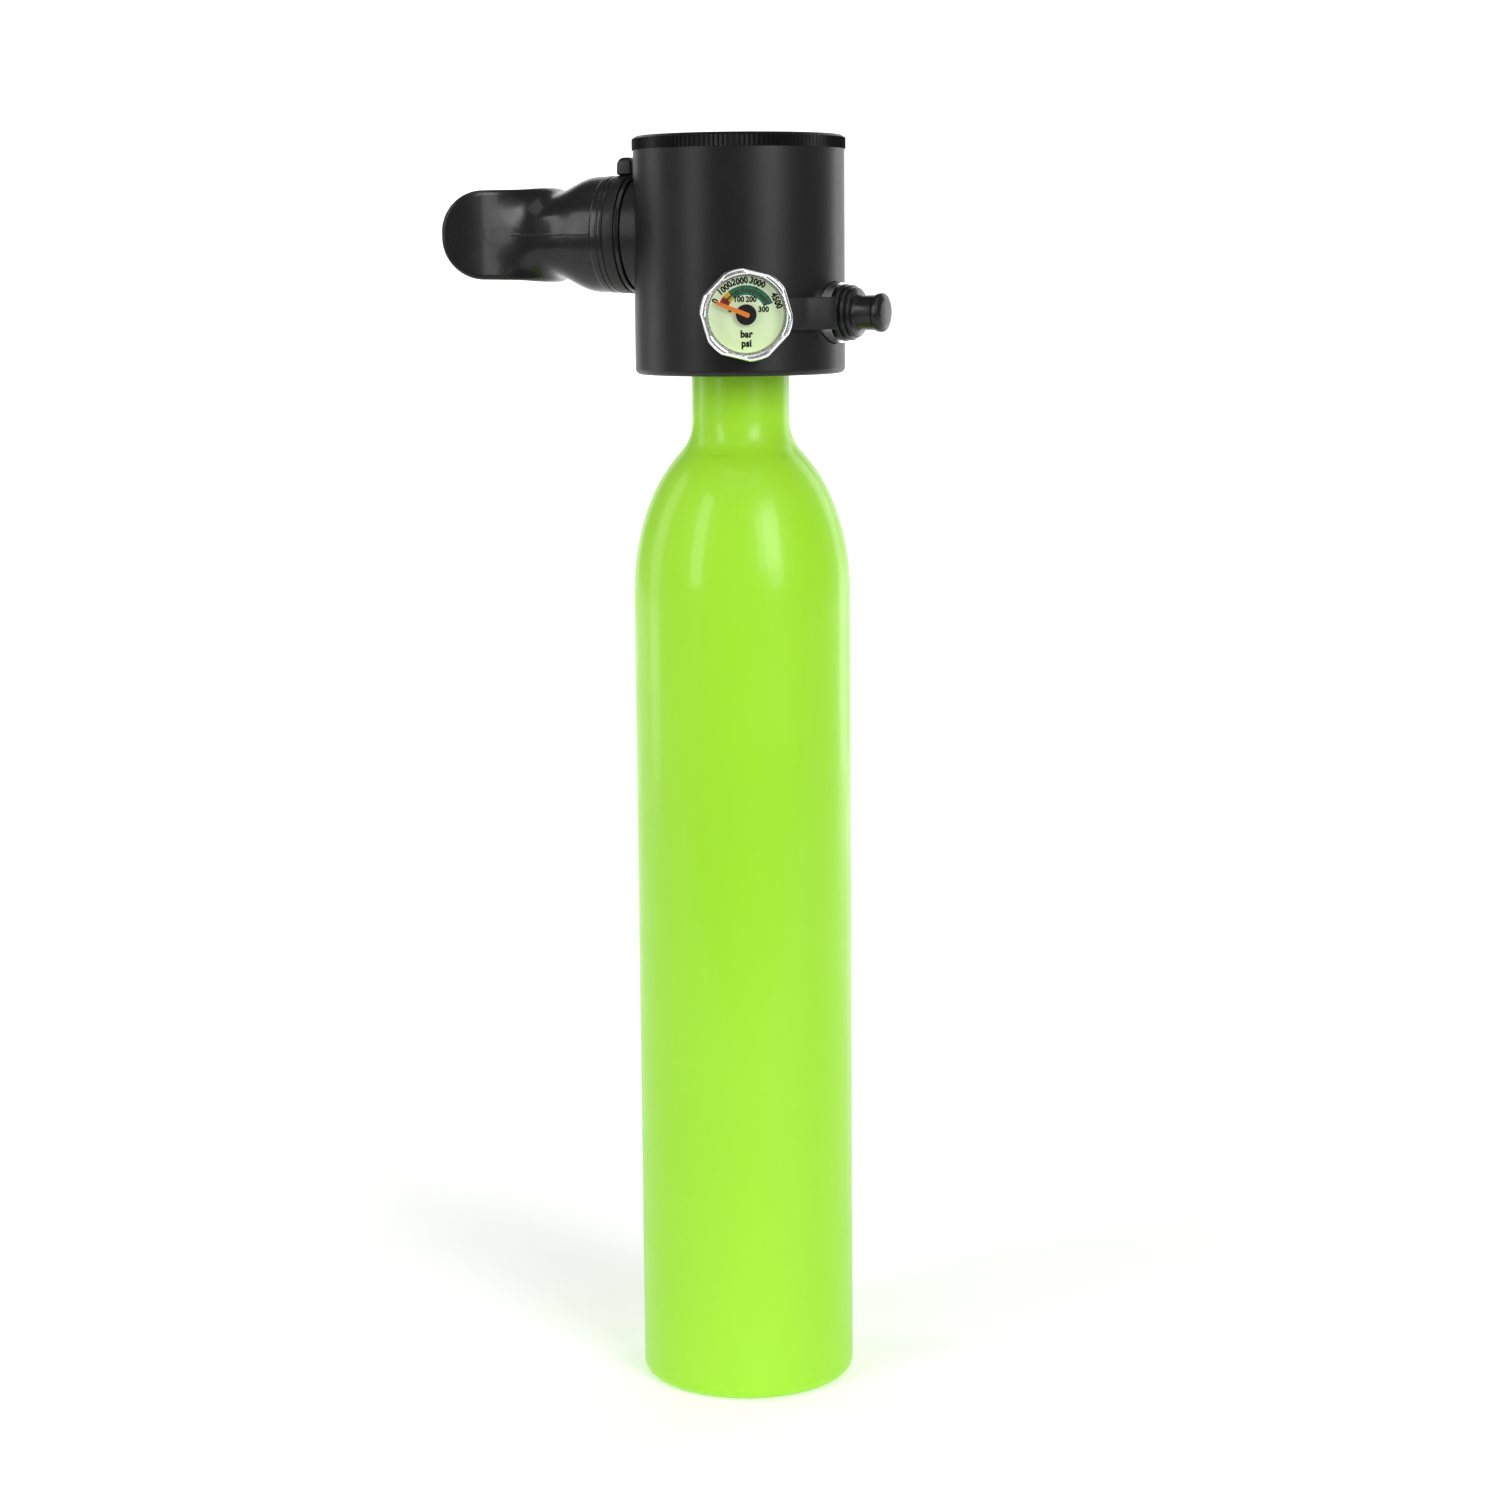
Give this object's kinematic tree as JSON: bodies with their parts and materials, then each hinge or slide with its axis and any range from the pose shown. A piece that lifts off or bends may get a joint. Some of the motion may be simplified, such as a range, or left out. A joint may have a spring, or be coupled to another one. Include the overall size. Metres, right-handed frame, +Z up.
{
  "type": "mini scuba tank",
  "caption": "Half-litre hand-held dive cylinder with a screw-on breathing head, pressure gauge, capped filling nipple, purge button and bite mouthpiece.",
  "frame": {"origin": "centre of the cylinder's flat base", "axes": "+Z up along the cylinder's axis, -X towards the mouthpiece, +Y towards the exhaust"},
  "size_m": [0.1204, 0.0787, 0.3479],
  "materials": {
    "green_coat": "glossy lime-green powder coat",
    "plated_brass": "nickel-plated, satin",
    "seal_rubber": "matte nitrile",
    "sintered_bronze": "sintered, granular",
    "white_polymer": "machined polymer",
    "spring_steel": "drawn wire",
    "stainless": "satin",
    "black_anodised": "satin black anodised",
    "black_knurl": "satin black, straight knurl",
    "black_nylon": "moulded",
    "clear_silicone": "translucent silicone",
    "polished_chrome": "polished",
    "pale_dial": "pale luminous green print",
    "orange_needle": "painted",
    "clear_lens": "clear moulded lens",
    "black_nickel": "dark, polished",
    "black_rubber": "glossy moulded",
    "tether_rubber": "matte moulded",
    "mouth_rubber": "glossy moulded silicone"
  },
  "bodies": {
    "tank": {"cylinder": "green_coat", "valve_body": "plated_brass", "neck_o_ring": "seal_rubber", "inlet_filter": "sintered_bronze", "inlet_tube": "plated_brass", "inlet_orifice": "plated_brass", "piston_spring": "spring_steel", "first_stage_cap": "plated_brass", "cap_o_ring": "seal_rubber", "housing": "black_anodised", "chamber_plate": "black_anodised", "plate_o_ring": "seal_rubber", "lock_nut": "plated_brass", "demand_barrel": "plated_brass", "riser_o_ring": "seal_rubber", "barrel_screws": "stainless", "barrel_plug": "plated_brass", "demand_orifice": "plated_brass", "orifice_o_ring": "seal_rubber", "poppet_spring": "spring_steel", "lever_pin": "stainless", "diaphragm": "clear_silicone", "diaphragm_guard": "stainless", "retaining_ring": "black_knurl", "purge_spring": "spring_steel", "exhaust_seat": "black_nylon", "exhaust_cover": "black_nylon", "gauge_case": "polished_chrome", "gauge_tube": "sintered_bronze", "gauge_movement": "stainless", "gauge_dial": "pale_dial", "gauge_lens": "clear_lens", "fill_nipple": "black_nickel", "check_clip": "stainless", "fill_check_spring": "spring_steel", "burst_plug": "black_nickel", "burst_disc": "stainless", "port_o_rings": "seal_rubber", "cap_tether": "tether_rubber", "mouthpiece": "mouth_rubber", "mouthpiece_tie": "black_nylon"},
    "purge": {"purge_button": "black_nylon"},
    "stiffener": {"diaphragm_plate": "stainless"},
    "lever": {"demand_lever": "stainless"},
    "poppet": {"demand_poppet": "black_nylon", "poppet_seat": "seal_rubber", "poppet_nut": "stainless"},
    "piston": {"piston": "plated_brass", "piston_seat": "white_polymer", "stem_o_ring": "seal_rubber", "piston_o_ring": "seal_rubber"},
    "pointer": {"gauge_needle": "orange_needle", "needle_hub": "black_nylon"},
    "fill_check": {"fill_check_poppet": "plated_brass"},
    "cap": {"dust_cap": "black_rubber"},
    "exhaust_flap": {"exhaust_valve": "clear_silicone"}
  },
  "joints": [
    {"name": "purge_press", "type": "slide", "parent": "tank", "child": "purge", "axis": [0, 0, -1], "range_m": [0, 0.0025], "stiffness_N_per_m": 400, "springref_m": -0.004, "deforming": ["purge_spring", "diaphragm"]},
    {"name": "diaphragm_press", "type": "slide", "parent": "tank", "child": "stiffener", "axis": [0, 0, -1], "range_m": [0, 0.00251]},
    {"name": "lever_tilt", "type": "hinge", "parent": "tank", "child": "lever", "pos_m": [0, -0.0196, 0.3347], "axis": [-1, 0, 0], "range_deg": [0, 7.4]},
    {"name": "poppet_slide", "type": "slide", "parent": "tank", "child": "poppet", "axis": [0, -1, 0], "range_m": [0, 0.00086], "deforming": ["poppet_spring"]},
    {"name": "piston_slide", "type": "slide", "parent": "tank", "child": "piston", "axis": [0, 0, -1], "range_m": [0, 0.0009], "stiffness_N_per_m": 5000, "springref_m": -0.001, "deforming": ["piston_spring"]},
    {"name": "needle_turn", "type": "hinge", "parent": "tank", "child": "pointer", "pos_m": [0.01397, -0.03372, 0.3005], "axis": [-0.3827, 0.9239, 0], "range_deg": [0, 132], "stiffness_Nm_per_rad": 0.0002},
    {"name": "fill_check_slide", "type": "slide", "parent": "tank", "child": "fill_check", "axis": [-0.9914, 0.1305, 0], "range_m": [0, 0.0015], "stiffness_N_per_m": 200, "springref_m": -0.003, "deforming": ["fill_check_spring"]},
    {"name": "dust_cap_pull", "type": "slide", "parent": "tank", "child": "cap", "axis": [0.9914, -0.1305, 0], "range_m": [0, 0.016], "deforming": ["cap_tether"]},
    {"name": "exhaust_lift", "type": "slide", "parent": "tank", "child": "exhaust_flap", "axis": [0, 1, 0], "range_m": [0, 0.0008], "stiffness_N_per_m": 50, "springref_m": -0.0005}
  ],
  "couplings": [
    {"joint": "diaphragm_press", "follows": "purge_press", "ratio": 1},
    {"joint": "lever_tilt", "follows": "purge_press", "rad_per_m": 51},
    {"joint": "poppet_slide", "follows": "purge_press", "ratio": 0.34}
  ]
}
